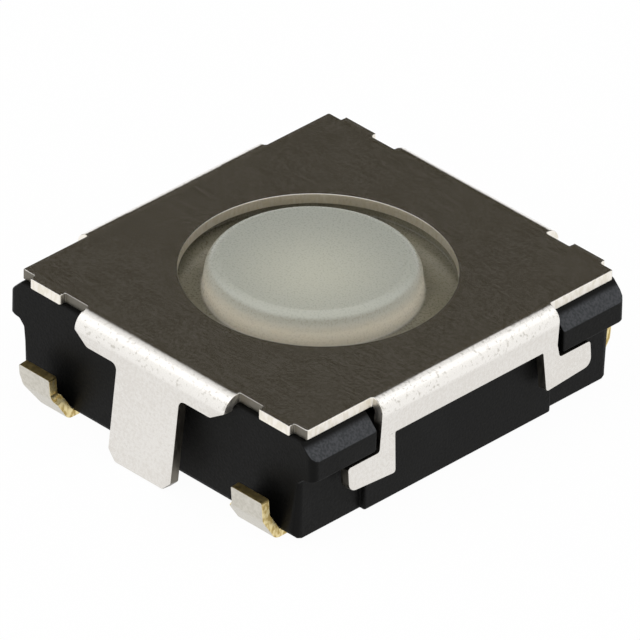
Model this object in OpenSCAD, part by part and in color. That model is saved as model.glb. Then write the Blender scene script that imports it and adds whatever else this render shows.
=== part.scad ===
// Surface-mount tactile push switch of the 6 mm square class.
// A stamped steel cover with a round window clips over a moulded base, two wide ground
// tabs spread down to the board, and a translucent button works a snap dome inside.
// The origin is the centre of the footprint on the board, and +Z points away from the board.
// X runs across the two hooked skirts, Y across the ground tabs and the solder terminals.

/* [Cover sheet] */
// Thickness of the cover's sheet metal
sheet_t = 0.16; // [0.1:0.01:0.2]
// Height of the cover's top face above the board
cover_h = 1.90; // [1.7:0.05:2.4]
// Width of the cover plate along X, at its corners
plate_w = 5.62; // [5.4:0.02:6.2]
// Depth of the cover plate along Y, at its corners
plate_d = 6.00; // [5.7:0.05:6.6]
// Inner radius of every bend in the cover
bend_r = 0.05; // [0.03:0.01:0.1]
// Diameter of the window that the button stands in
window_d = 3.92; // [3.6:0.02:4.2]
// Width of the broken edge round the window
window_edge = 0.03; // [0.01:0.01:0.05]

/* [Cover lips] */
// Length of each of the four lips that lie over the base wall
lip_w = 0.60; // [0.3:0.05:0.7]
// How far a lip stands out from the plate's edge
lip_proud = 0.10; // [0.04:0.01:0.15]
// Distance from the middle of the cover to the middle of a lip
lip_x = 2.26; // [2.1:0.02:2.4]

/* [Ground tabs] */
// Width of the tab's wing where it leaves the plate
wing_w = 3.00; // [2.4:0.05:3.4]
// Width of the wing along its lower edge
wing_low_w = 2.44; // [1.8:0.05:2.6]
// How far the wing hangs below the cover's top face
wing_drop = 0.43; // [0.3:0.02:0.6]
// Width of the stem that reaches the board
stem_w = 1.24; // [0.8:0.05:1.5]
// Chamfer on the stem's lower corners
stem_chamfer = 0.15; // [0.05:0.01:0.3]
// Outward lean of the tab
tab_lean = 6; // [2:1:12]
// Gap between the tab's root and the base wall
tab_clear = 0.05; // [0.03:0.01:0.15]

/* [Hooked skirts] */
// Length of the skirt along Y
skirt_l = 3.48; // [3:0.05:3.8]
// How far the skirt's lower edge hangs below the cover's top face
skirt_drop = 0.61; // [0.5:0.01:0.7]
// Inward lean of the skirt, which grips the base
skirt_lean = 3.5; // [0:0.5:5]
// Outward lean of the hooks, which starts at the skirt's lower edge
hook_lean = 5; // [0:0.5:8]
// Width of each hook's leg
leg_w = 0.29; // [0.2:0.01:0.45]
// How far each leg spreads along Y on its way down
leg_spread = 0.03; // [0:0.01:0.06]
// How far a hook's foot reaches past its leg
hook_reach = 0.61; // [0.4:0.01:0.8]
// Height of the foot beside the leg
hook_h = 0.44; // [0.3:0.01:0.55]
// How far the foot's lower edge rises towards its end
hook_rise = 0.06; // [0:0.01:0.12]

/* [Base] */
// Gap between the base's underside and the board
standoff = 0.06; // [0.02:0.01:0.1]
// How far the base wall stands out past the plate's edge, along Y
wall_proud = 0.07; // [0.02:0.01:0.09]
// How far the corner blocks stand out from the side wall
block_proud = 0.21; // [0.14:0.01:0.3]
// Height of the corner blocks' underside above the board
block_under = 1.115; // [0.95:0.005:1.3]
// Chamfer along the top of each corner block
block_chamfer = 0.25; // [0.1:0.01:0.3]
// How far the wall under a corner block lies back from the side wall
corner_recess = 0.09; // [0.04:0.01:0.15]
// Radius of the base's upright corners
corner_r = 0.12; // [0.05:0.01:0.2]
// Diameter of the round chamber
chamber_d = 4.76; // [4.6:0.02:5]
// Height of the chamber's floor above the board
floor_h = 0.45; // [0.4:0.01:0.6]

/* [Button] */
// Diameter of the button's head where it meets the flange
head_d = 3.10; // [2.6:0.02:3.4]
// How much the head narrows towards its top, at each side
head_draft = 0.02; // [0:0.01:0.06]
// How far the head stands above the cover at rest
head_proud = 0.18; // [0.1:0.02:0.5]
// Radius of the head's shoulder
shoulder_r = 0.25; // [0.1:0.01:0.35]
// Radius of the fillet between the head and the flange
head_fillet = 0.05; // [0.02:0.01:0.1]
// Thickness of the flange under the cover
flange_t = 0.30; // [0.2:0.02:0.4]
// How deep the flange is dished round the head, inside its rim
flange_dish = 0.12; // [0.04:0.01:0.16]
// Width of the flange's rim, which bears on the cover
rim_w = 0.22; // [0.1:0.01:0.24]
// Diameter of the plunger that meets the dome
plunger_d = 1.60; // [1.2:0.05:2.4]
// Travel of the button from rest to full press
travel = 0.25; // [0.15:0.01:0.3]
// Where the loose button sits in its play: this far towards -X and as far towards -Y
button_float = 0.045; // [0:0.005:0.05]

/* [Contacts] */
// Thickness of the contact strip
strip_t = 0.15; // [0.1:0.01:0.18]
// How far a terminal's outer face stands out from the base wall
terminal_proud = 0.38; // [0.32:0.02:0.6]
// Height of a terminal's upturned end above the board
terminal_h = 0.72; // [0.5:0.02:0.9]
// Distance from the middle of the switch to a terminal's inner edge
terminal_x = 1.80; // [1.6:0.02:1.9]
// Width of a terminal's upturned end
terminal_w = 0.61; // [0.5:0.01:0.7]
// Length of the upturned end above its bend
upturn_l = 0.30; // [0.2:0.01:0.4]
// How far the upturned end leans outwards
upturn_lean = 0.03; // [0:0.01:0.06]
// How far the strip reaches past the terminal's inner edge, below its step
strip_step = 0.10; // [0.04:0.01:0.15]
// Height of that step above the board
step_h = 0.45; // [0.3:0.01:0.5]
// How much the outer contact's terminals narrow on their outer side
outer_taper = 0.20; // [0:0.01:0.25]
// Length of strip that slopes up inside the base
slope_l = 0.35; // [0.25:0.01:0.5]
// Depth of the centre contact's bar under the chamber floor
bar_depth = 0.06; // [0.03:0.01:0.1]
// Diameter of the centre contact's raised pad
pad_d = 1.10; // [0.8:0.05:1.4]
// Height of that pad above the chamber's floor
pad_rise = 0.10; // [0.06:0.01:0.14]
// Thickness of the snap dome
dome_t = 0.07; // [0.04:0.01:0.1]
// Diameter of the snap dome
dome_d = 4.16; // [3.8:0.02:4.3]

/* [Fits] */
// Radial play of the button's flange in the chamber
flange_play = 0.10; // [0.09:0.01:0.14]
// Gap between faces that slide or pass each other
slide_gap = 0.03; // [0.02:0.01:0.05]

/* [Hidden] */
$fn = 64;

plate_under = cover_h - sheet_t;
// Each bend turns the sheet by a right angle, less the tab's lean and plus the skirt's
tab_turn = 90 - tab_lean;
skirt_turn = 90 + skirt_lean;

base_d = plate_d + 2 * wall_proud;
tab_bend_y = base_d / 2 + tab_clear - bend_r;
skirt_bend_x = plate_w / 2;

// The knee, where the hooks leave the skirt, on the sheet's inner face
skirt_low = cover_h - skirt_drop;
knee_l = (plate_under - bend_r - bend_r * sin(skirt_lean) - skirt_low) / cos(skirt_lean);
knee_x = skirt_bend_x + bend_r * cos(skirt_lean) - knee_l * sin(skirt_lean);

hook_gap = 2 * slide_gap;
hook_top = block_under - slide_gap;
hook_low = hook_top - hook_h;
side_wall = knee_x - slide_gap;
block_x = side_wall + block_proud;
low_wall = side_wall - corner_recess;
block_y = skirt_l / 2 + leg_spread + hook_gap;
small_r = 0.05;

flange_d = chamber_d - 2 * flange_play;
flange_top = plate_under - slide_gap;
flange_low = flange_top - flange_t;
dish_z = flange_top - flange_dish;
head_top = cover_h + head_proud;
pad_top = floor_h + pad_rise;
dome_in = pad_top + travel + slide_gap;
dome_top = dome_in + dome_t;
dome_seat = 0.05;

terminal_span = base_d + 2 * terminal_proud;
terminal_out = terminal_x + terminal_w;
strip_in = terminal_x - strip_step;
strip_exit = base_d / 2 - strip_t;
bar_end = strip_exit - strip_t - slope_l;

// Outline helpers: a corner is [x, y, radius], and a rounded corner becomes a short arc
function unit(v) = v / norm(v);
function flat(p) = [p[0], p[1]];
function corner_arc(a, b, c, r, steps) =
    let (u = unit(a - b), v = unit(c - b), half = acos(u * v) / 2,
         centre = b + unit(u + v) * r / sin(half),
         from = b + u * r / tan(half) - centre, to = b + v * r / tan(half) - centre,
         start = atan2(from[1], from[0]), turn = atan2(to[1], to[0]) - start,
         sweep = turn > 180 ? turn - 360 : (turn < -180 ? turn + 360 : turn))
    [for (i = [0:steps]) centre + r * [cos(start + sweep * i / steps), sin(start + sweep * i / steps)]];
function rounded(corners, steps = 5) =
    let (n = len(corners))
    [for (i = [0:n - 1]) each corners[i][2] == 0 ? [flat(corners[i])] :
        corner_arc(flat(corners[(i + n - 1) % n]), flat(corners[i]), flat(corners[(i + 1) % n]),
                   corners[i][2], steps)];

// A strip of even thickness along a bent path: each side is the path moved half a thickness
function side_normal(a, b) = let (d = unit(b - a)) [-d[1], d[0]];
function moved(path, i, off) =
    let (n = len(path), before = side_normal(path[max(i - 1, 0)], path[max(i, 1)]),
         after = side_normal(path[min(i, n - 2)], path[min(i + 1, n - 1)]))
    path[i] + off * (before + after) / (1 + before * after);
function turn_sign(path, i) =
    sign(cross(path[i] - path[i - 1], path[i + 1] - path[i]));
function strip_side(path, off, r) =
    let (n = len(path))
    [for (i = [0:n - 1]) let (p = moved(path, i, off))
        [p[0], p[1], (i == 0 || i == n - 1) ? 0 : r - off * turn_sign(path, i)]];
function reversed(list) = [for (i = [len(list) - 1:-1:0]) list[i]];
function strip_outline(path, t, r) =
    rounded(concat(strip_side(path, t / 2, r), reversed(strip_side(path, -t / 2, r))));

// Extrudes a side view, drawn as Y across and Z up, along X
module along_x(length) {
    rotate([90, 0, 90]) linear_extrude(length, center = true) children();
}

// Extrudes a front view, drawn as X across and Z up, from the middle outwards along +Y
module along_y(length) {
    rotate([90, 0, 180]) linear_extrude(length) mirror([1, 0, 0]) children();
}

module both_ends() {
    children();
    rotate(180) children();
}

// A bend that leaves the plate along +Y, with a flat strip hanging from it.
// What follows the strip starts at the inner face of its lower end.
module bent_strip(width, bend_at, turn, length) {
    translate([0, bend_at, plate_under - bend_r]) {
        rotate([0, -90, 0]) rotate_extrude(angle = turn)
            translate([bend_r, -width / 2]) square([sheet_t, width]);
        rotate([-turn, 0, 0]) translate([0, 0, bend_r]) {
            translate([-width / 2, 0, 0]) cube([width, length, sheet_t]);
            translate([0, length, 0]) children();
        }
    }
}

// Front view of a ground tab: the tapered wing, then the stem down to the board
module tab_outline() {
    wing_low = cover_h - wing_drop;
    half = [[wing_w / 2 + small_r, cover_h + small_r, 0], [wing_low_w / 2, wing_low, 2 * small_r],
            [stem_w / 2, wing_low, 2 * small_r], [stem_w / 2, stem_chamfer, small_r],
            [stem_w / 2 - stem_chamfer, 0, small_r]];
    polygon(rounded(concat(half, reversed([for (p = half) [-p[0], p[1], p[2]]]))));
}

module ground_tab() {
    intersection() {
        bent_strip(wing_w, tab_bend_y, tab_turn, 2 * cover_h);
        along_y(plate_d) tab_outline();
    }
}

// Side view of a skirt: the band under the plate's edge and the two hooks that point outwards
module skirt_outline() {
    band_out = skirt_l / 2;
    leg_out = band_out + leg_spread;
    hook_end = leg_out + hook_reach;
    half = [[band_out, cover_h + small_r, 0], [band_out, skirt_low, 0], [leg_out, hook_top, small_r],
            [hook_end, hook_top, small_r], [hook_end, hook_low + hook_rise, 3 * small_r],
            [leg_out - leg_w, hook_low, small_r], [band_out - leg_w, skirt_low, small_r]];
    polygon(rounded(concat(half, reversed([for (p = half) [-p[0], p[1], p[2]]]))));
}

module skirt() {
    width = skirt_l + 4 * hook_reach;
    intersection() {
        rotate(-90) bent_strip(width, skirt_bend_x, skirt_turn, knee_l)
            rotate([skirt_lean + hook_lean, 0, 0])
                translate([-width / 2, 0, 0]) cube([width, cover_h, sheet_t]);
        translate([plate_w / 2, 0, 0]) along_x(plate_w / 2) skirt_outline();
    }
}

module cover() {
    color([0.30, 0.28, 0.25]) {
        difference() {
            translate([0, 0, plate_under]) linear_extrude(sheet_t) {
                square([plate_w, plate_d], center = true);
                square([wing_w, 2 * tab_bend_y], center = true);
                for (side = [-1, 1]) {
                    translate([side * lip_x, 0]) square([lip_w, plate_d + 2 * lip_proud], center = true);
                }
            }
            cylinder(d = window_d, h = 2 * cover_h);
            translate([0, 0, cover_h - window_edge])
                cylinder(d1 = window_d, d2 = window_d + 4 * window_edge, h = 2 * window_edge);
        }
        both_ends() {
            ground_tab();
            skirt();
        }
    }
}

// Profile of a corner block, drawn as X across and Z up
module block_outline() {
    under_slope = block_proud / 8;
    polygon([[0, block_under - corner_recess], [low_wall, block_under - corner_recess],
             [side_wall, block_under], [block_x, block_under + under_slope],
             [block_x, plate_under - block_chamfer], [block_x - block_chamfer, plate_under],
             [0, plate_under]]);
}

module corner_blocks() {
    intersection() {
        both_ends() {
            along_y(base_d / 2) block_outline();
            mirror([1, 0, 0]) along_y(base_d / 2) block_outline();
        }
        difference() {
            rounded_box(2 * block_x, base_d, corner_r, 0, plate_under);
            cube([4 * block_x, 2 * block_y, 4 * cover_h], center = true);
        }
    }
}

// An upright box centred on the Z axis, with its four upright edges rounded
module rounded_box(w, d, r, z_low, z_high) {
    translate([0, 0, z_low]) linear_extrude(z_high - z_low) {
        square([w - 2 * r, d], center = true);
        square([w, d - 2 * r], center = true);
        for (x = [-1, 1], y = [-1, 1]) {
            translate([x * (w / 2 - r), y * (d / 2 - r)]) circle(r);
        }
    }
}

module base_housing() {
    color([0.12, 0.12, 0.12]) difference() {
        union() {
            rounded_box(2 * low_wall, base_d, corner_r, standoff, plate_under);
            rounded_box(2 * side_wall, 2 * block_y, small_r, standoff, plate_under);
            corner_blocks();
        }
        translate([0, 0, floor_h]) cylinder(d = chamber_d, h = cover_h);
        outer_contact();
        centre_contact();
    }
}

module push_button() {
    head_r = head_d / 2;
    shoulder_x = head_r - head_draft - shoulder_r;
    shoulder_z = head_top - shoulder_r;
    color([0.70, 0.72, 0.66, 0.8]) translate([-button_float, -button_float, 0]) rotate_extrude() {
        translate([0, dome_top + slide_gap]) square([plunger_d / 2, flange_top - dome_top]);
        translate([0, flange_low]) square([flange_d / 2, dish_z - flange_low]);
        translate([flange_d / 2 - rim_w, flange_low]) square([rim_w, flange_t]);
        polygon([[0, flange_low], [head_r, flange_low], [head_r, dish_z],
                 [shoulder_x + shoulder_r, shoulder_z], [shoulder_x, head_top], [0, head_top]]);
        translate([shoulder_x, shoulder_z]) intersection() {
            circle(shoulder_r);
            square(shoulder_r);
        }
        translate([head_r, dish_z]) difference() {
            square(head_fillet);
            translate([head_fillet, head_fillet]) circle(head_fillet);
        }
    }
}

// A shallow spherical shell whose rim rests on the chamber floor
module snap_dome() {
    rim_r = dome_d / 2 - dome_seat;
    rise = dome_in - floor_h;
    sphere_r = (rim_r * rim_r + rise * rise) / (2 * rise);
    color([0.80, 0.78, 0.70]) intersection() {
        translate([0, 0, dome_in - sphere_r]) difference() {
            sphere(sphere_r + dome_t);
            sphere(sphere_r);
        }
        translate([0, 0, floor_h]) cylinder(d = dome_d, h = cover_h);
    }
}

// Front view of a terminal: the upturned end, with a step on its inner edge and a taper outside
module terminal_outline(taper) {
    polygon([[strip_in, 0], [strip_in, step_h - strip_step], [terminal_x, step_h],
             [terminal_x, terminal_h], [terminal_out, terminal_h],
             [terminal_out, step_h + strip_step], [terminal_out - taper, 0]]);
}

// One of the two leads of a contact, with its terminal past the +Y wall of the base
module lead(bar_low, taper) {
    mid = strip_t / 2;
    tip_y = terminal_span / 2 - mid;
    strip_w = terminal_out - taper - strip_in;
    outside = [[tip_y, 2 * terminal_h], [tip_y, terminal_h], [tip_y - upturn_lean, terminal_h - upturn_l],
               [base_d / 2 + strip_t / 3, mid], [strip_exit, mid]];
    inside = [[strip_exit, mid], [strip_exit - strip_t, mid], [bar_end, bar_low + mid],
              [bar_end - strip_t, bar_low + mid]];
    intersection() {
        along_x(2 * plate_w) polygon(strip_outline(outside, strip_t, 0.6 * strip_t));
        along_y(terminal_span) terminal_outline(taper);
    }
    translate([strip_in + strip_w / 2, 0, 0])
        along_x(strip_w) polygon(strip_outline(inside, strip_t, 0.6 * strip_t));
}

// A stamped contact: two leads joined by a bar that lies in the floor of the base
module contact_frame(bar_low, taper) {
    lead(bar_low, taper);
    mirror([0, 1, 0]) lead(bar_low, taper);
    translate([strip_in, strip_t - bar_end, bar_low])
        cube([terminal_out - taper - strip_in, 2 * (bar_end - strip_t), strip_t]);
}

module outer_contact() {
    color([0.78, 0.76, 0.70]) mirror([1, 0, 0]) contact_frame(floor_h - strip_t, outer_taper);
}

// The centre contact's bar is buried under the floor, and its tongue carries the raised pad
module centre_contact() {
    bar_low = floor_h - bar_depth - strip_t;
    color([0.78, 0.76, 0.70]) {
        contact_frame(bar_low, 0);
        translate([0, -pad_d / 2, bar_low]) cube([terminal_out, pad_d, strip_t]);
        translate([0, 0, bar_low]) cylinder(d = pad_d, h = pad_top - bar_low);
    }
}

base_housing();
cover();
push_button();
snap_dome();
outer_contact();
centre_contact();
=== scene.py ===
import math

import bmesh
import bpy
from mathutils import Matrix, Vector


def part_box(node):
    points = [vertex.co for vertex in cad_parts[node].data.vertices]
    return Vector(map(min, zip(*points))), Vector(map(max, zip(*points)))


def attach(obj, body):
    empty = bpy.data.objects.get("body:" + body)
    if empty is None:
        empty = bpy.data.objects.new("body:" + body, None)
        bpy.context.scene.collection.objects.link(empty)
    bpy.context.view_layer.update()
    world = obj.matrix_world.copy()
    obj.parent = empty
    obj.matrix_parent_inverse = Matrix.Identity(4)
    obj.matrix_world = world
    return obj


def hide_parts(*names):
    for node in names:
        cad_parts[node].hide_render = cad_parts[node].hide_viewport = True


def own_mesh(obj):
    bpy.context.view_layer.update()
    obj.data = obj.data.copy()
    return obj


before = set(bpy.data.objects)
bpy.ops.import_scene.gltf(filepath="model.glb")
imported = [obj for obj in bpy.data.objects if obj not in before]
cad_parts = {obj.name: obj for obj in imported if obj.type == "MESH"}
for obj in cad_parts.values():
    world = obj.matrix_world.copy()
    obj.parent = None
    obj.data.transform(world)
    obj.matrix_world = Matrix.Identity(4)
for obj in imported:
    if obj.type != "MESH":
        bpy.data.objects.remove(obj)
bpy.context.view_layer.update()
scene = bpy.context.scene


# ---------------------------------------------------------------- The view
# The switch stands on its terminals and is seen from its front corner, a third of a
# right angle above the board, through a long lens that keeps its edges near parallel.
azimuth, elevation, roll = (math.radians(a) for a in (44.494, 32.878, 1.393))
aim = Vector((-0.3089, 0.3755, 0.7493)) * 0.001
eye_distance = 0.2129
pixels_per_metre = 71522
picture_width, sensor_width = 640, 36.0

to_eye = Vector((math.sin(azimuth) * math.cos(elevation),
                 -math.cos(azimuth) * math.cos(elevation), math.sin(elevation)))
level_right = Vector((0, 0, 1)).cross(to_eye).normalized()
level_up = to_eye.cross(level_right)
right = math.cos(roll) * level_right + math.sin(roll) * level_up
up = math.cos(roll) * level_up - math.sin(roll) * level_right

lens = bpy.data.cameras.new("long_lens")
lens.sensor_width = sensor_width
lens.lens = pixels_per_metre * eye_distance / picture_width * sensor_width
lens.clip_start, lens.clip_end = 0.01, 5
camera = bpy.data.objects.new("camera", lens)
camera.matrix_world = (Matrix.Translation(aim + to_eye * eye_distance)
                       @ Matrix((right, up, to_eye)).transposed().to_4x4())
scene.collection.objects.link(camera)
scene.camera = camera
scene.view_settings.view_transform = "Standard"


# ---------------------------------------------------------------- The light and the floor
# A white table under a soft white tent with a broad light high on each side. Behind the
# switch hangs one dark brown card, which the top of its cover mirrors.
def node(tree, kind, **settings):
    made = tree.nodes.new(kind)
    for name, value in settings.items():
        setattr(made, name, value)
    return made


def put(tree, target, source):
    """Sets a socket to a value, or links another node's output to it."""
    if hasattr(source, "is_output"):
        tree.links.new(source, target)
    else:
        target.default_value = source


def between(tree, value, low, high, out_low=0.0, out_high=1.0):
    """A share that goes smoothly from out_low to out_high as value goes from low to high."""
    step = node(tree, "ShaderNodeMapRange", interpolation_type="SMOOTHSTEP")
    for socket, source in zip(step.inputs[:5], (value, low, high, out_low, out_high)):
        put(tree, socket, source)
    return step.outputs[0]


def sums(tree, operation, a, b=0.0):
    """One sum of two numbers, such as ADD or MULTIPLY."""
    made = node(tree, "ShaderNodeMath", operation=operation)
    put(tree, made.inputs[0], a)
    put(tree, made.inputs[1], b)
    return made.outputs[0]


def either(tree, share, first, second):
    """A colour that goes from first to second as share goes from 0 to 1."""
    mix = node(tree, "ShaderNodeMix", data_type="RGBA")
    put(tree, mix.inputs[0], share)
    put(tree, mix.inputs[6], first)
    put(tree, mix.inputs[7], second)
    return mix.outputs[2]


def rgb(red, green, blue):
    """A colour given as it looks on a screen, from 0 to 255."""
    screen = [c / 255 for c in (red, green, blue)]
    return [c / 12.92 if c < 0.04045 else ((c + 0.055) / 1.055) ** 2.4 for c in screen] + [1.0]


tent_white = (0.95, 0.95, 0.95, 1)
roof_white = (1.0, 1.0, 1.0, 1)
side_white = (1.1, 1.1, 1.09, 1)
lamp_white = (1.2, 1.2, 1.21, 1)
card_brown = (0.038, 0.031, 0.0165, 1)
card_facing = Vector((-to_eye.x, -to_eye.y, 0)).normalized()
# Places in the tent: heights are sines above the floor, and each zone fades in over a pair.
card_sides = [math.cos(math.radians(degrees)) for degrees in (52, 38)]
card_foot, card_head = (0.06, 0.16), (0.78, 0.66)
roof_height, bright_side = (0.55, 0.78), (-0.35, 0.15)
lamp_sides, lamp_foot, lamp_head = (0.38, 0.56), (0.42, 0.56), (0.93, 0.85)

world = bpy.data.worlds.new("studio")
world.use_nodes = True
scene.world = world
tent = world.node_tree
tent.nodes.clear()
direction = node(tent, "ShaderNodeTexCoord").outputs["Generated"]
parts = node(tent, "ShaderNodeSeparateXYZ")
put(tent, parts.inputs[0], direction)
level = node(tent, "ShaderNodeCombineXYZ")
put(tent, level.inputs[0], parts.outputs[0])
put(tent, level.inputs[1], parts.outputs[1])
level_unit = node(tent, "ShaderNodeVectorMath", operation="NORMALIZE")
put(tent, level_unit.inputs[0], level.outputs[0])
facing = node(tent, "ShaderNodeVectorMath", operation="DOT_PRODUCT")
put(tent, facing.inputs[0], level_unit.outputs[0])
put(tent, facing.inputs[1], card_facing)
high_up = parts.outputs[2]
sideways = between(tent, facing.outputs["Value"], *card_sides)
above_floor = between(tent, high_up, *card_foot)
below_top = between(tent, high_up, *card_head)
card = sums(tent, "MULTIPLY", sums(tent, "MULTIPLY", sideways, above_floor), below_top)
roof = between(tent, high_up, *roof_height)
away = between(tent, facing.outputs["Value"], *bright_side)
across = node(tent, "ShaderNodeVectorMath", operation="DOT_PRODUCT")
put(tent, across.inputs[0], direction)
put(tent, across.inputs[1], level_right)
off_middle = sums(tent, "ABSOLUTE", across.outputs["Value"])
lamps = sums(tent, "MULTIPLY", between(tent, off_middle, *lamp_sides),
             sums(tent, "MULTIPLY", between(tent, high_up, *lamp_foot),
                  between(tent, high_up, *lamp_head)))
lit_tent = either(tent, roof, either(tent, away, tent_white, side_white), roof_white)
lit_tent = either(tent, lamps, lit_tent, lamp_white)
seen = node(tent, "ShaderNodeLightPath")
glow = node(tent, "ShaderNodeBackground")
put(tent, glow.inputs["Color"],
    either(tent, seen.outputs["Is Camera Ray"], either(tent, card, lit_tent, card_brown),
           (1, 1, 1, 1)))
glow.inputs["Strength"].default_value = 1.0
put(tent, node(tent, "ShaderNodeOutputWorld").inputs[0], glow.outputs[0])

lamp_data = bpy.data.lights.new("broad_lamp", "AREA")
lamp_data.shape = "DISK"
lamp_data.size = 0.05
lamp_data.energy = 0.003
lamp = bpy.data.objects.new("broad_lamp", lamp_data)
lamp_place = Vector((-0.012, -0.035, 0.055))
lamp.location = lamp_place
lamp.rotation_euler = lamp_place.to_track_quat("Z", "Y").to_euler()
scene.collection.objects.link(lamp)

# The floor lies a hair under the terminals, so that no two faces share its plane. The camera
# and mirrors see it as the plain white of the tent, but for a faint share of its shading.
floor_size = 1.0
floor_drop = 0.000004
seen_white, mirrored_white = 0.97, 0.95
floor_mesh = bpy.data.meshes.new("floor")
floor_build = bmesh.new()
bmesh.ops.create_grid(floor_build, x_segments=1, y_segments=1, size=floor_size)
bmesh.ops.translate(floor_build, verts=floor_build.verts, vec=(0, 0, -floor_drop))
floor_build.to_mesh(floor_mesh)
floor_build.free()
floor = bpy.data.objects.new("floor", floor_mesh)
scene.collection.objects.link(floor)
table = bpy.data.materials.new("white_table")
table.use_nodes = True
top = table.node_tree
top.nodes.clear()
plain = node(top, "ShaderNodeBsdfDiffuse")
plain.inputs["Color"].default_value = (0.9, 0.9, 0.9, 1)
lit = node(top, "ShaderNodeEmission")
lit.inputs["Color"].default_value = (1, 1, 1, 1)
rays = node(top, "ShaderNodeLightPath")
mirrored = sums(top, "MAXIMUM", rays.outputs["Is Glossy Ray"],
                rays.outputs["Is Transmission Ray"])
blend = node(top, "ShaderNodeMixShader")
put(top, blend.inputs[0],
    sums(top, "MAXIMUM", sums(top, "MULTIPLY", rays.outputs["Is Camera Ray"], seen_white),
         sums(top, "MULTIPLY", mirrored, mirrored_white)))
put(top, blend.inputs[1], plain.outputs[0])
put(top, blend.inputs[2], lit.outputs[0])
put(top, node(top, "ShaderNodeOutputMaterial").inputs[0], blend.outputs[0])
floor_mesh.materials.append(table)


# ---------------------------------------------------------------- The two contacts
# Each contact is one stamped strip of silver-plated brass. Its ends turn up outside the
# base as solder terminals, and its middle lies in the floor. The cut edges stay bare.
mm = 0.001
strip = 0.15
wall_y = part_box("base_housing")[1].y / mm
terminal_in, terminal_out, terminal_h = 1.80, 2.41, 0.72
terminal_reach, terminal_lean, upturn = 0.38, 0.03, 0.30
step_h, step_w = 0.45, 0.10
floor_h, bar_depth, pad_r, pad_top = 0.45, 0.06, 0.55, 0.55
pad_lip, pad_chamfer = 0.10, 0.03
strip_bend, slope_run, strip_edge = 0.09, 0.35, 0.012
corner_r, notch_r, neck_r = 0.03, 0.02, 0.10
taper_foot_r, taper_top_r = 0.04, 0.06
nearly_straight = 1.55
map_width = 20


def fillet(back, here, ahead, radius, steps):
    """The arc that rounds a corner, as a list of points. A line that hardly turns stays."""
    corner = Vector(here[:2])
    u, v = ((Vector(p[:2]) - corner).normalized() for p in (back, ahead))
    half = u.angle(v) / 2
    if not radius or half > nearly_straight:
        return [tuple(corner)]
    centre = corner + (u + v).normalized() * radius / math.sin(half)
    first, last = (corner + w * radius / math.tan(half) - centre for w in (u, v))
    start = math.atan2(first.y, first.x)
    turn = (math.atan2(last.y, last.x) - start + math.pi) % (2 * math.pi) - math.pi
    return [(centre.x + radius * math.cos(start + turn * i / steps),
             centre.y + radius * math.sin(start + turn * i / steps)) for i in range(steps + 1)]


def rounded(corners, steps=5):
    """A closed outline of (x, y, radius) corners."""
    ring = [corners[-1], *corners, corners[0]]
    return [p for a, b, c in zip(ring, ring[1:], ring[2:]) for p in fillet(a, b, c, b[2], steps)]


class BentPath:
    """The path of a bent strip, as (along, height, bend radius) corners.

    Lengths along it are the lengths on the flat blank that it is bent from."""

    def __init__(self, corners, steps=9):
        self.points = [corners[0][:2]]
        for a, b, c in zip(corners, corners[1:], corners[2:]):
            self.points += fillet(a, b, c, b[2], steps)
        self.points.append(corners[-1][:2])
        self.lengths = [0.0]
        for a, b in zip(self.points, self.points[1:]):
            self.lengths.append(self.lengths[-1] + math.dist(a, b))

    def at(self, length):
        """The place at a length along the path."""
        for i, end in enumerate(self.lengths[1:], 1):
            if length <= end or i == len(self.lengths) - 1:
                a, b = Vector(self.points[i - 1]), Vector(self.points[i])
                return a.lerp(b, (length - self.lengths[i - 1]) / (end - self.lengths[i - 1]))

    def length_at(self, height):
        """The length at which the last stretches pass a height."""
        for i in range(len(self.points) - 1, 0, -1):
            before, after = self.points[i - 1][1], self.points[i][1]
            if min(before, after) <= height <= max(before, after) and before != after:
                share = (height - before) / (after - before)
                return self.lengths[i - 1] + share * (self.lengths[i] - self.lengths[i - 1])


def stamped(outline, holes=()):
    """A flat blank cut to an outline, in millimetres."""
    blank = bmesh.new()
    for loop in (outline, *holes):
        corners = [blank.verts.new((x, y, 0)) for x, y in loop]
        for a, b in zip(corners, corners[1:] + corners[:1]):
            blank.edges.new((a, b))
    if holes:
        bmesh.ops.triangle_fill(blank, use_beauty=True, edges=blank.edges, normal=(0, 0, 1))
    else:
        blank.faces.new(corners)
    bmesh.ops.recalc_face_normals(blank, faces=blank.faces)
    if sum(face.normal.z for face in blank.faces) < 0:
        bmesh.ops.reverse_faces(blank, faces=blank.faces)
    return blank


def bend_lines(blank, axis, places):
    """Cuts the blank along the lines at which it bends."""
    normal = Vector((axis == "x", axis == "y", 0))
    for place in places:
        bmesh.ops.bisect_plane(blank, geom=blank.verts[:] + blank.edges[:] + blank.faces[:],
                               dist=1e-6, plane_co=normal * place, plane_no=normal)


def bent_piece(name, blank, place, thickness, offset, edge_round, metals):
    """Bends a blank and gives it its thickness. Its flat coordinates stay on it as a map,
    so that the rolling lines follow the metal round its bends."""
    rolled = blank.loops.layers.uv.new("rolled")
    for face in blank.faces:
        for loop in face.loops:
            loop[rolled].uv = (0.5 + loop.vert.co.x / map_width, 0.5 + loop.vert.co.y / map_width)
    for vertex in blank.verts:
        vertex.co = Vector(place(vertex.co.x, vertex.co.y))
    mesh = bpy.data.meshes.new(name)
    blank.to_mesh(mesh)
    blank.free()
    piece = bpy.data.objects.new(name, mesh)
    scene.collection.objects.link(piece)
    for metal in metals:
        mesh.materials.append(metal)
    gauge = piece.modifiers.new("gauge", "SOLIDIFY")
    gauge.thickness = thickness
    gauge.offset = offset
    gauge.use_even_offset = True
    gauge.material_offset_rim = 1
    break_edges(piece, edge_round)
    return piece


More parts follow.
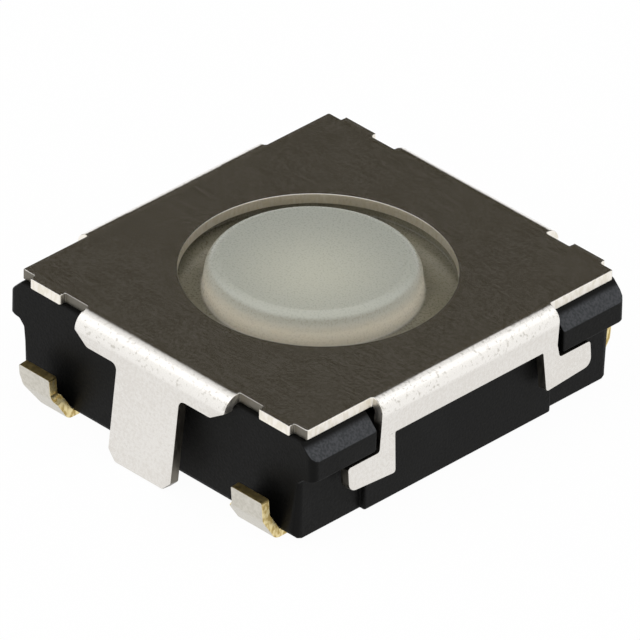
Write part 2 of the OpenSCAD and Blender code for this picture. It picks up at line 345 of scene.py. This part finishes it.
def break_edges(piece, edge_round, segments=2, limit=50):
    """Rounds the edges that turn by more than the limit, in degrees."""
    ease = piece.modifiers.new("broken_edges", "BEVEL")
    ease.width = edge_round
    ease.segments = segments
    ease.limit_method = "ANGLE"
    ease.angle_limit = math.radians(limit)
    ease.use_clamp_overlap = False
    ease.loop_slide = False


def made_plain(piece):
    """Turns a piece and its modifiers into one plain mesh, still in millimetres."""
    bpy.context.view_layer.update()
    graph = bpy.context.evaluated_depsgraph_get()
    plain_mesh = bpy.data.meshes.new_from_object(piece.evaluated_get(graph), depsgraph=graph)
    piece.modifiers.clear()
    piece.data = plain_mesh
    plain_mesh.name = piece.name


def facing_out(piece):
    """Closes a piece's seams and turns its faces outwards."""
    shape = bmesh.new()
    shape.from_mesh(piece.data)
    bmesh.ops.remove_doubles(shape, verts=shape.verts, dist=1e-5)
    bmesh.ops.recalc_face_normals(shape, faces=shape.faces)
    shape.to_mesh(piece.data)
    shape.free()


def combined(piece, other, operation):
    """Joins a piece with another, cuts the other from it, or keeps what both share."""
    join = piece.modifiers.new("join", "BOOLEAN")
    join.operation = operation
    join.object = other
    made_plain(piece)


def finished(piece, body, crease=32):
    """Smooths the rounded edges, keeps the flat faces flat, and brings the piece to metres."""
    made_plain(piece)
    shape = bmesh.new()
    shape.from_mesh(piece.data)
    bmesh.ops.remove_doubles(shape, verts=shape.verts, dist=1e-5)
    bmesh.ops.dissolve_degenerate(shape, edges=shape.edges, dist=1e-5)
    for face in shape.faces:
        face.smooth = True
    for edge in shape.edges:
        edge.smooth = edge.calc_face_angle(0) < math.radians(crease)
    shape.to_mesh(piece.data)
    shape.free()
    flat = piece.modifiers.new("flat_faces", "WEIGHTED_NORMAL")
    flat.keep_sharp = True
    flat.weight = 90
    made_plain(piece)
    piece.data.transform(Matrix.Scale(mm, 4))
    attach(piece, body)


def coated(name, base_color, metallic, roughness):
    """A material with its shader and its output, and its constant finish on the shader."""
    material = bpy.data.materials.new(name)
    material.use_nodes = True
    tree = material.node_tree
    tree.nodes.clear()
    shader = node(tree, "ShaderNodeBsdfPrincipled")
    put(tree, node(tree, "ShaderNodeOutputMaterial").inputs[0], shader.outputs[0])
    shader.inputs["Base Color"].default_value = base_color
    shader.inputs["Metallic"].default_value = metallic
    shader.inputs["Roughness"].default_value = roughness
    return material, tree, shader


def noise(tree, place, scale, detail=2.0, stretch=(1, 1, 1)):
    """Noise from coordinates, drawn out along an axis where its factor is small."""
    shape = node(tree, "ShaderNodeMapping")
    put(tree, shape.inputs["Vector"], place)
    shape.inputs["Scale"].default_value = stretch
    made = node(tree, "ShaderNodeTexNoise")
    put(tree, made.inputs["Vector"], shape.outputs[0])
    made.inputs["Scale"].default_value = scale
    made.inputs["Detail"].default_value = detail
    return made.outputs["Fac"]


def mean(tree, a, b):
    """The mean of two numbers."""
    return sums(tree, "MULTIPLY", sums(tree, "ADD", a, b), 0.5)


def relief(tree, shader, height, depth):
    """Fine relief on the surface, to a depth in metres."""
    bump = node(tree, "ShaderNodeBump")
    put(tree, bump.inputs["Height"], height)
    bump.inputs["Distance"].default_value = depth
    put(tree, shader.inputs["Normal"], bump.outputs[0])


def rolled_metal(name, pale, dull, roughness, spread, depth):
    """Rolled strip: fine lines along the blank, faint cloudy patches and fine specks."""
    material, tree, shader = coated(name, pale, 1.0, roughness)
    flat = node(tree, "ShaderNodeUVMap", uv_map="rolled").outputs[0]
    place = node(tree, "ShaderNodeTexCoord").outputs["Object"]
    lines = noise(tree, flat, 1100, 3, (0.03, 1, 1))
    clouds = noise(tree, place, 900, 3)
    specks = noise(tree, place, 22000, 2)
    worn = mean(tree, mean(tree, clouds, lines), specks)
    put(tree, shader.inputs["Base Color"], either(tree, between(tree, worn, 0.6, 0.4), pale, dull))
    put(tree, shader.inputs["Roughness"], between(tree, mean(tree, specks, lines), 0.35, 0.65,
                                                  roughness - spread, roughness + spread))
    relief(tree, shader, mean(tree, specks, lines), depth)
    return material


silver = rolled_metal("silver_plating", rgb(213, 209, 199), rgb(197, 193, 182), 0.36, 0.05,
                      0.0000004)


def sheared_metal(name, dull, pale, shade, shaded, scale, depth):
    """A cut edge: torn grain through the sheet's thickness. The function shaded gives the
    share of the dark tone from the place on the piece."""
    material, tree, shader = coated(name, pale, 1.0, 0.4)
    place = node(tree, "ShaderNodeTexCoord").outputs["Object"]
    axes = node(tree, "ShaderNodeSeparateXYZ")
    put(tree, axes.inputs[0], place)
    grain = noise(tree, place, scale, 3, (1, 1, 0.4))
    clean = either(tree, between(tree, grain, 0.38, 0.6), dull, pale)
    put(tree, shader.inputs["Base Color"], either(tree, shaded(tree, axes.outputs), clean, shade))
    put(tree, shader.inputs["Roughness"], between(tree, grain, 0.3, 0.7, 0.48, 0.32))
    relief(tree, shader, grain, depth)
    return material


def on_tips(tree, axes):
    """The cut ends of the terminals, at their very tops."""
    return between(tree, axes[2], 0.685 * mm, 0.70 * mm)


bare_brass = sheared_metal("bare_brass", rgb(190, 166, 104), rgb(236, 219, 166), rgb(136, 120, 78),
                           on_tips, 22000, 0.0000004)


def contact(name, side, taper, bar_low, tongue):
    """One contact on its side of X. Its two ends taper by so much on their outer edges."""
    mid = strip / 2
    tip = wall_y + terminal_reach - mid
    exit_y = wall_y - strip
    heel, knee = (wall_y + strip / 3, mid), (tip - terminal_lean, terminal_h - upturn)
    path = BentPath([(0, bar_low + mid),
                     (exit_y - strip - slope_run, bar_low + mid, strip_bend),
                     (exit_y - strip, mid, strip_bend), (*heel, strip_bend),
                     (*knee, strip_bend), (tip, terminal_h)])
    length = path.lengths[-1]
    foot = length - math.dist(heel, knee) - upturn
    inner = terminal_in - step_w
    end = [(terminal_out, length, corner_r), (terminal_in, length, corner_r),
           (terminal_in, path.length_at(step_h), notch_r),
           (inner, path.length_at(step_h - step_w), notch_r)]
    if taper:
        end = [(terminal_out - taper, foot, taper_foot_r),
               (terminal_out, path.length_at(step_h + step_w), taper_top_r)] + end
    pad_side = []
    if tongue:
        turns = [math.radians(15 * i) for i in range(1, 12)]
        pad_side = [(inner, pad_r, neck_r), (0, pad_r, 0),
                    *((-pad_r * math.sin(a), pad_r * math.cos(a), 0) for a in turns),
                    (0, -pad_r, 0), (inner, -pad_r, neck_r)]
    near = [(x, -y, r) for x, y, r in reversed(end)]
    blank = stamped([(side * x, y) for x, y in rounded(end + pad_side + near)])
    bend_lines(blank, "y", [s * y for s in (-1, 1) for y in path.lengths[1:-1]])

    def place(x, y):
        along, height = path.at(abs(y))
        return x, math.copysign(along, y), height

    piece = bent_piece(name, blank, place, strip, 0, strip_edge, [silver, bare_brass])
    made_plain(piece)
    facing_out(piece)
    if tongue:
        rim = pad_r - pad_lip
        pad = turned("centre_pad",
                     [(0, bar_low + mid), (rim, bar_low + mid), (rim, pad_top - pad_chamfer),
                      (rim - pad_chamfer, pad_top), (0, pad_top)], silver)
        combined(piece, pad, "UNION")
        facing_out(piece)
        bpy.data.objects.remove(pad)
    return piece


seam_gap = 0.0005
lathe = bpy.data.node_groups.new("turned_about_z", "GeometryNodeTree")
for label, kind in (("Profile", "Geometry"), ("Middle Radius", "Float"), ("Steps Round", "Int"),
                    ("Finish", "Material")):
    lathe.interface.new_socket(label, in_out="INPUT", socket_type="NodeSocket" + kind)
lathe.interface.new_socket("Turned", in_out="OUTPUT", socket_type="NodeSocketGeometry")
given = node(lathe, "NodeGroupInput")
circle = node(lathe, "GeometryNodeCurvePrimitiveCircle")
put(lathe, circle.inputs["Resolution"], given.outputs["Steps Round"])
put(lathe, circle.inputs["Radius"], given.outputs["Middle Radius"])
section = node(lathe, "GeometryNodeMeshToCurve")
put(lathe, section.inputs[0], given.outputs["Profile"])
swept = node(lathe, "GeometryNodeCurveToMesh")
put(lathe, swept.inputs["Curve"], circle.outputs[0])
put(lathe, swept.inputs["Profile Curve"], section.outputs[0])
closed = node(lathe, "GeometryNodeMergeByDistance")
put(lathe, closed.inputs["Geometry"], swept.outputs[0])
closed.inputs["Distance"].default_value = seam_gap
whole = node(lathe, "GeometryNodeRealizeInstances")
put(lathe, whole.inputs[0], closed.outputs[0])
finish = node(lathe, "GeometryNodeSetMaterial")
put(lathe, finish.inputs["Geometry"], whole.outputs[0])
put(lathe, finish.inputs["Material"], given.outputs["Finish"])
put(lathe, node(lathe, "NodeGroupOutput").inputs[0], finish.outputs[0])


def turned(name, profile, material, middle=1.0, steps=160):
    """A piece of revolution about Z from its (radius, height) profile, in millimetres."""
    mesh = bpy.data.meshes.new(name)
    mesh.from_pydata([(r - middle, -z, 0) for r, z in profile],
                     [(i, i + 1) for i in range(len(profile) - 1)], [])
    piece = bpy.data.objects.new(name, mesh)
    scene.collection.objects.link(piece)
    turn = piece.modifiers.new("lathe", "NODES")
    turn.node_group = lathe
    inputs = {s.name: s.identifier for s in lathe.interface.items_tree if s.in_out == "INPUT"}
    turn[inputs["Middle Radius"]] = middle
    turn[inputs["Steps Round"]] = steps
    turn[inputs["Finish"]] = material
    made_plain(piece)
    facing_out(piece)
    return piece


bar_proud, outer_taper = 0.003, 0.20
outer_piece = contact("outer_contact_strip", -1, outer_taper, floor_h - strip + bar_proud, False)
centre_piece = contact("centre_contact_strip", 1, 0.0, floor_h - bar_depth - strip, True)


# ---------------------------------------------------------------- The base
# One moulding of black filled resin round the contacts. Four chamfered blocks stand out at
# its corners, a plinth fills the gap between the hooks, and a round chamber opens upwards.
cover_top, sheet = 1.90, 0.16
under_cover = cover_top - sheet
base_low = 0.06
plinth_x, plinth_y = 2.806, 1.83
foot_step, block_out, under_rise = 0.09, 0.21, 0.026
low_x, block_x = plinth_x - foot_step, plinth_x + block_out
block_low, block_chamfer, block_round = 1.115, 0.25, 0.12
rebate_x, rebate_z = 2.70, 1.60
chamber_r, base_edge = 2.38, 0.03


def slab(name, outline, low, high):
    """A closed block from an (x, z) outline, from y = low to y = high, in millimetres."""
    shape = bmesh.new()
    ends = [[shape.verts.new((x, y, z)) for x, z in outline] for y in (low, high)]
    shape.faces.new(ends[0])
    shape.faces.new(reversed(ends[1]))
    for i in range(len(outline)):
        j = (i + 1) % len(outline)
        shape.faces.new((ends[0][j], ends[0][i], ends[1][i], ends[1][j]))
    bmesh.ops.recalc_face_normals(shape, faces=shape.faces)
    mesh = bpy.data.meshes.new(name)
    shape.to_mesh(mesh)
    shape.free()
    made = bpy.data.objects.new(name, mesh)
    scene.collection.objects.link(made)
    return made


half_end = [(low_x, base_low), (low_x, block_low - foot_step), (plinth_x, block_low),
            (block_x, block_low + under_rise), (block_x, under_cover - block_chamfer),
            (block_x - block_chamfer, under_cover)]
both_sides = half_end + [(-x, z) for x, z in reversed(half_end)]
# The rebate leaves room behind the upper bend of the cover's skirts.
half_plinth = [(plinth_x, base_low), (plinth_x, rebate_z), (rebate_x, rebate_z),
               (rebate_x, under_cover)]
plinth_outline = half_plinth + [(-x, z) for x, z in reversed(half_plinth)]
base = slab("base_moulding", plinth_outline, -plinth_y, plinth_y)
for low, high in ((-wall_y, -plinth_y), (plinth_y, wall_y)):
    end_block = slab("end_block", both_sides, low, high)
    combined(base, end_block, "UNION")
    bpy.data.objects.remove(end_block)


def merged_faces(piece):
    """Joins the faces that lie in one plane, which the cuts leave in pieces."""
    shape = bmesh.new()
    shape.from_mesh(piece.data)
    bmesh.ops.remove_doubles(shape, verts=shape.verts, dist=1e-4)
    bmesh.ops.dissolve_limit(shape, angle_limit=0.01, verts=shape.verts, edges=shape.edges)
    bmesh.ops.recalc_face_normals(shape, faces=shape.faces)
    shape.to_mesh(piece.data)
    shape.free()


merged_faces(base)
shape = bmesh.new()
shape.from_mesh(base.data)
low_corner = [v for v in shape.verts
              if abs(abs(v.co.y) - wall_y) < 1e-3 and abs(abs(v.co.x) - low_x) < 1e-3]
upright = [e for e in shape.edges if all(v in low_corner for v in e.verts)]
bmesh.ops.bevel(shape, geom=upright, offset=block_round, segments=3, profile=0.5,
                affect="EDGES")
shape.to_mesh(base.data)
shape.free()
facing_out(base)
round_corners = [(x, y, block_round) for x, y in ((block_x, wall_y), (-block_x, wall_y),
                                                  (-block_x, -wall_y), (block_x, -wall_y))]
envelope = slab("envelope", rounded(round_corners, 3), 0, 2 * cover_top)
envelope.data.transform(Matrix.Rotation(math.radians(90), 4, "X"))
combined(base, envelope, "INTERSECT")
bpy.data.objects.remove(envelope)
merged_faces(base)

# The moulded faces are dusty black. The chamfers of the blocks carry a painted dark-grey sheen,
# light from above painted on them, which fades back to black near their tops as painted shadow
# under the cover's edge.
resin_dark, resin_dusty = rgb(7, 7, 6), rgb(15, 15, 14)
chamfer_lit_dark, chamfer_lit_pale = rgb(54, 56, 58), rgb(70, 71, 74)
chamfer_shaded_above, chamfer_lit_below = 1.69 * mm, 1.62 * mm
resin, tree, shader = coated("black_resin", rgb(14, 14, 13), 0.0, 0.5)
shader.inputs["Specular IOR Level"].default_value = 0.1
place = node(tree, "ShaderNodeTexCoord").outputs["Object"]
dust = noise(tree, place, 1300, 4)
fine = noise(tree, place, 26000, 2)
axes = node(tree, "ShaderNodeSeparateXYZ")
put(tree, axes.inputs[0], place)
toward_chamfer = sums(tree, "ADD", sums(tree, "ABSOLUTE", axes.outputs[0]), axes.outputs[2])
edge_sum = (block_x + under_cover - block_chamfer) * mm
# This share marks the chamfers, where light from above is painted; it fades out near their tops as
# painted shadow under the cover.
lit_facet = sums(tree, "MULTIPLY",
             between(tree, toward_chamfer, edge_sum - 0.03 * mm, edge_sum - 0.01 * mm),
             between(tree, axes.outputs[2], chamfer_shaded_above, chamfer_lit_below))
moulded = either(tree, between(tree, dust, 0.45, 0.75), resin_dark, resin_dusty)
# The chamfers' grey is painted light, in patches of fine noise.
patchy = either(tree, between(tree, fine, 0.35, 0.65), chamfer_lit_dark, chamfer_lit_pale)
put(tree, shader.inputs["Base Color"], either(tree, lit_facet, moulded, patchy))
put(tree, shader.inputs["Roughness"], between(tree, mean(tree, dust, fine), 0.3, 0.7, 0.38, 0.56))
relief(tree, shader, fine, 0.000003)
base.data.materials.append(resin)
chamber = turned("chamber", [(0, floor_h), (chamber_r, floor_h), (chamber_r, 2 * cover_top),
                             (0, 2 * cover_top)], resin)
combined(base, chamber, "DIFFERENCE")
bpy.data.objects.remove(chamber)
break_edges(base, base_edge, limit=35)
made_plain(base)
facing_out(base)
for metal_strip in (outer_piece, centre_piece):
    combined(base, metal_strip, "DIFFERENCE")
finished(base, "housing")
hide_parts("base_housing")
for metal_strip, node_name in ((outer_piece, "outer_contact"), (centre_piece, "centre_contact")):
    finished(metal_strip, "housing")
    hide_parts(node_name)


# ---------------------------------------------------------------- The snap dome
# A thin dished disc of plated spring steel. Its rim rests on the chamber's floor, and the
# button's plunger snaps it down onto the pad.
dome_r, dome_t, dome_low = 2.08, 0.07, 0.83
dome_rise, dome_seat = dome_low - floor_h, 0.05
sphere_r = ((dome_r - dome_seat) ** 2 + dome_rise ** 2) / (2 * dome_rise)
sphere_z = dome_low - sphere_r


def dish(radius, reach, steps=24):
    """The profile of one side of the dome, from its crown out to its rim."""
    last = math.asin(reach / radius)
    return [(radius * math.sin(last * i / steps), sphere_z + radius * math.cos(last * i / steps))
            for i in range(steps + 1)]


spring_pale, spring_dull = rgb(205, 203, 197), rgb(186, 184, 176)
spring, tree, shader = coated("spring_steel", spring_pale, 1.0, 0.24)
place = node(tree, "ShaderNodeTexCoord").outputs["Object"]
clouds = noise(tree, place, 1500, 3)
put(tree, shader.inputs["Base Color"],
    either(tree, between(tree, clouds, 0.4, 0.6), spring_pale, spring_dull))
put(tree, shader.inputs["Roughness"], between(tree, clouds, 0.3, 0.7, 0.18, 0.3))
relief(tree, shader, noise(tree, place, 20000, 2), 0.0000005)
dome = turned("snap_dome_disc", dish(sphere_r + dome_t, dome_r) + [(dome_r, floor_h)]
              + list(reversed(dish(sphere_r, dome_r - dome_seat))), spring)
finished(dome, "housing")
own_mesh(dome)
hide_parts("snap_dome")


# ---------------------------------------------------------------- The button
# One milky, slightly see-through moulding: a low round head on a thin dished flange whose rim
# the cover holds down, with a plunger under it. It sits a little off centre in its play.
head_r, head_top, draft, shoulder, neck = 1.55, 2.08, 0.02, 0.25, 0.05
flange_r, flange_top, flange_t = 2.28, 1.71, 0.30
dish_depth, rim_w = 0.12, 0.22
dish_z, rim_r = flange_top - dish_depth, flange_r - rim_w
plunger_r, plunger_low = 0.80, 0.93
offset = Vector((-0.045, -0.045, 0))
flange_round, rim_round, mould_step, mould_line = 0.04, 0.02, 0.004, 0.015

flat_r, flange_low = head_r - draft - shoulder, flange_top - flange_t
profile = [(0, head_top), (0.5 * flat_r, head_top), (flat_r - 2 * mould_line, head_top),
           (flat_r - mould_line, head_top - mould_step), (flat_r, head_top - mould_step)]
profile += [(flat_r + shoulder * math.sin(a), head_top - shoulder * (1 - math.cos(a)))
            for a in (math.radians(6 * i) for i in range(1, 16))]
profile += [(head_r + neck * (1 - math.cos(a)), dish_z + neck * (1 - math.sin(a)))
            for a in (math.radians(15 * i) for i in range(7))]
profile += [(rim_r - rim_round, dish_z), (rim_r, dish_z + rim_round),
            (rim_r, flange_top - rim_round), (rim_r + rim_round, flange_top),
            (flange_r - flange_round, flange_top),
            (flange_r - 0.3 * flange_round, flange_top - 0.3 * flange_round),
            (flange_r, flange_top - flange_round), (flange_r, flange_low + flange_round),
            (flange_r - flange_round, flange_low), (plunger_r, flange_low),
            (plunger_r, plunger_low + flange_round), (plunger_r - flange_round, plunger_low),
            (0, plunger_low)]

# The head is milky, with painted light: a painted pool of light on its top, off towards the front
# corner and darker towards its rim, and a wall painted paler towards its foot. The thin flange is
# darker, as the dark chamber shows through it, with painted shade where the cover shades it.
top_middle, top_rim = rgb(187, 187, 173), rgb(162, 164, 155)
wall_high, wall_low = rgb(150, 149, 136), rgb(227, 221, 205)
thin_dark, thin_pale = rgb(100, 97, 82), rgb(133, 128, 110)
# The top's painted pool of light centres here, off towards the front corner, and fades out over
# this reach.
lit_spot_middle, lit_spot_reach = (0.25, -0.34), 1.7 * mm
milky, tree, shader = coated("milky_resin", rgb(196, 197, 187), 0.0, 0.3)
shader.inputs["Specular IOR Level"].default_value = 0.58
place = node(tree, "ShaderNodeTexCoord").outputs["Object"]


def away_from(point):
    """The distance from the upright line through a point."""
    flat = node(tree, "ShaderNodeMapping")
    put(tree, flat.inputs["Vector"], place)
    flat.inputs["Scale"].default_value = (1, 1, 0)
    flat.inputs["Location"].default_value = (-point[0] * mm, -point[1] * mm, 0)
    length = node(tree, "ShaderNodeVectorMath", operation="LENGTH")
    put(tree, length.inputs[0], flat.outputs[0])
    return length.outputs["Value"]


axes = node(tree, "ShaderNodeSeparateXYZ")
put(tree, axes.inputs[0], place)
high_up = axes.outputs[2]
out_on_flange = between(tree, away_from(offset), 1.54 * mm, 1.58 * mm)
toward_rim = between(tree, away_from(lit_spot_middle), 0.0, lit_spot_reach)
on_wall = between(tree, high_up, 2.035 * mm, 1.985 * mm)
# The wall is painted paler towards its foot, as painted light.
down_wall = between(tree, high_up, 2.00 * mm, 1.78 * mm)
cloudy = noise(tree, place, 2500, 3)
mottle = noise(tree, place, 36000, 2)
head_tone = either(tree, on_wall, either(tree, toward_rim, top_middle, top_rim),
                   either(tree, down_wall, wall_high, wall_low))
# The flange's darker tones stand for the dark chamber showing through and for painted shade from
# the cover.
thin_tone = either(tree, cloudy, thin_dark, thin_pale)
clear_tone = either(tree, out_on_flange, head_tone, thin_tone)
grained = node(tree, "ShaderNodeHueSaturation")
put(tree, grained.inputs["Color"], clear_tone)
put(tree, grained.inputs["Value"], between(tree, mottle, 0.2, 0.8, 0.98, 1.02))
put(tree, shader.inputs["Base Color"], grained.outputs[0])
put(tree, shader.inputs["Roughness"], between(tree, mottle, 0.3, 0.7, 0.24, 0.38))
shader.inputs["Subsurface Weight"].default_value = 0.7
shader.inputs["Subsurface Radius"].default_value = (1.0, 0.95, 0.85)
shader.inputs["Subsurface Scale"].default_value = 0.0004
relief(tree, shader, cloudy, 0.000002)
button = turned("button_moulding", profile, milky)
button.data.transform(Matrix.Translation(offset))
finished(button, "button", crease=50)
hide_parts("push_button")


# ---------------------------------------------------------------- The cover
# One stamping of bright rolled sheet, bent down over the base: two wide ground tabs whose
# stems stand on the board, and two skirts whose hooked legs grip under the corner blocks.
plate_x, plate_y, lip_y = 2.81, 3.00, 3.10
lip_near, lip_far, lip_clear = 1.96, 2.56, 0.1
window_r, window_steps = 1.96, 160
tab_x, tab_root, tab_lean = 1.50, wall_y, 6
wing_drop, wing_taper, skirt_drop = 0.43, 0.02, 0.61
wing_low_x, wing_low, stem_x, stem_chamfer = 1.22, cover_top - wing_drop, 0.62, 0.15
skirt_y, skirt_low, skirt_lean, hook_lean = 1.74, cover_top - skirt_drop, 3.5, 5
leg_w, leg_y, hook_reach, hook_top, hook_low, hook_rise = 0.29, 1.77, 0.61, 1.085, 0.645, 0.06
bend, tab_bend, hook_bend = 0.05, 0.10, 0.3
soft, hook_tip_r, cover_edge = 0.05, 0.14, 0.014
flat_margin = 0.06


def slope_of(degrees):
    """The run for each unit of rise of a line that leans by so many degrees."""
    return math.tan(math.radians(degrees))


tab_knee = tab_root + bend * slope_of(45 - tab_lean / 2)
tab_line = tab_knee - tab_bend * slope_of(45 - tab_lean / 2)
tab_path = BentPath([(0, under_cover), (tab_knee, under_cover, tab_bend),
                     (tab_knee + under_cover * slope_of(tab_lean), 0)])
skirt_knee = plate_x + bend * slope_of(45 + skirt_lean / 2)
hook_knee = skirt_knee - (under_cover - skirt_low) * slope_of(skirt_lean)
skirt_path = BentPath([(0, under_cover), (skirt_knee, under_cover, bend),
                       (hook_knee, skirt_low, hook_bend),
                       (hook_knee + skirt_low * slope_of(hook_lean), 0)])
tab_at, skirt_at = tab_path.length_at, skirt_path.length_at
tab_end = tab_path.lengths[-1]
wing_top_x = tab_x - wing_taper

front = [(lip_near, plate_y, notch_r), (lip_near, lip_y, corner_r), (lip_far, lip_y, corner_r),
         (lip_far, plate_y, notch_r), (plate_x, plate_y, corner_r)]
tab = [(stem_x - stem_chamfer, tab_end, soft), (stem_x, tab_end - stem_chamfer, soft),
       (stem_x, tab_at(wing_low), neck_r), (wing_low_x, tab_at(wing_low), neck_r),
       (wing_top_x, tab_at(under_cover - tab_bend), 0), (tab_x, plate_y, notch_r)]
side = [(plate_x, skirt_y, notch_r), (skirt_at(skirt_low), skirt_y, 0),
        (skirt_at(hook_top), leg_y, soft), (skirt_at(hook_top), leg_y + hook_reach, soft),
        (skirt_at(hook_low + hook_rise), leg_y + hook_reach, hook_tip_r),
        (skirt_at(hook_low), leg_y - leg_w, soft), (skirt_at(skirt_low), skirt_y - leg_w, soft)]
quarter = tab + front + side
outline = (quarter + [(x, -y, r) for x, y, r in reversed(quarter)]
           + [(-x, -y, r) for x, y, r in quarter] + [(-x, y, r) for x, y, r in reversed(quarter)])
window = [(window_r * math.cos(a), window_r * math.sin(a))
          for a in (math.tau * i / window_steps for i in range(window_steps))]
blank = stamped(rounded(outline), [window])
for axis, flat_end, path in (("y", plate_y - flat_margin, tab_path),
                             ("x", plate_x - flat_margin, skirt_path)):
    bend_lines(blank, axis, [s * at for s in (-1, 1) for at in (flat_end, *path.lengths[1:-1])])


def place_on_cover(x, y):
    """Where a point of the flat blank lies on the bent cover."""
    if abs(x) > plate_x + 1e-6:
        along, height = skirt_path.at(abs(x))
        return math.copysign(along, x), y, height
    if abs(y) > tab_line + 1e-6 and abs(x) < lip_near - lip_clear:
        along, height = tab_path.at(abs(y))
        return x, math.copysign(along, y), height
    return x, y, under_cover


steel = rolled_metal("rolled_steel", rgb(231, 228, 223), rgb(223, 219, 213), 0.21, 0.023,
                     0.00000022)


def by_the_base(tree, axes):
    """Painted shade on the cut edges that face the base, below the plate and in the notches beside
    the lips.
    """
    low = between(tree, axes[2], 1.60 * mm, 1.50 * mm)
    across = sums(tree, "ABSOLUTE", axes[1])
    notch = sums(tree, "MULTIPLY", between(tree, across, 2.975 * mm, 2.99 * mm),
                 between(tree, across, 3.03 * mm, 3.01 * mm))
    return sums(tree, "MAXIMUM", low, notch)


# The third, dark tone of the cut steel is painted shade, laid where by_the_base says.
cut_steel = sheared_metal("sheared_steel", rgb(240, 234, 221), rgb(249, 244, 235),
                          rgb(116, 112, 103), by_the_base, 17000, 0.000001)
# How far from the middle of a bend its wear and painted highlight reach, and where they are full,
# in millimetres.
wear_and_highlight_end, wear_and_highlight_full, wear_grain = 0.11, 0.03, 7.0
# The first tone is a painted highlight along the bends; the second is the dull of scuffs.
painted_bend_highlight, scuff_dull = rgb(243, 240, 235), rgb(206, 202, 194)
past_skirt_line, past_tab_line = 0.04, 0.09


def worn_and_highlighted_bends(metal, lines):
    """Paints a highlight along each bend, where the sheet turns over, and roughens and scuffs it
    there. Each line is an axis and a place on the blank."""
    tree = metal.node_tree
    place = node(tree, "ShaderNodeTexCoord").outputs["Object"]
    by_kind = {made.bl_idname: made for made in tree.nodes}
    height = by_kind["ShaderNodeBump"].inputs["Height"]
    colour = by_kind["ShaderNodeBsdfPrincipled"].inputs["Base Color"]
    flat = node(tree, "ShaderNodeSeparateXYZ")
    put(tree, flat.inputs[0], node(tree, "ShaderNodeUVMap", uv_map="rolled").outputs[0])
    near = 0.0
    for axis, at in lines:
        from_middle = sums(tree, "ABSOLUTE", sums(tree, "SUBTRACT", flat.outputs[axis], 0.5))
        off = sums(tree, "ABSOLUTE", sums(tree, "SUBTRACT", from_middle, at / map_width))
        near = sums(tree, "MAXIMUM", near,
                    between(tree, off, wear_and_highlight_end / map_width, wear_and_highlight_full / map_width))
    grain = noise(tree, place, 14000, 3)
    rough = sums(tree, "MULTIPLY", sums(tree, "MULTIPLY", near, grain), wear_grain)
    put(tree, height, sums(tree, "ADD", height.links[0].from_socket, rough))
    scuffs = noise(tree, place, 16000, 4)
    patchy = sums(tree, "MULTIPLY", near, between(tree, scuffs, 0.52, 0.74))
    # A painted highlight brightens the sheet along each bend.
    highlighted = either(tree, near, colour.links[0].from_socket, painted_bend_highlight)
    put(tree, colour, either(tree, patchy, highlighted, scuff_dull))


worn_and_highlighted_bends(steel, [("X", plate_x + past_skirt_line), ("Y", tab_line + past_tab_line)])
cover = bent_piece("stamped_cover", blank, place_on_cover, sheet, 1, cover_edge,
                   [steel, cut_steel])
finished(cover, "housing")
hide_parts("cover")
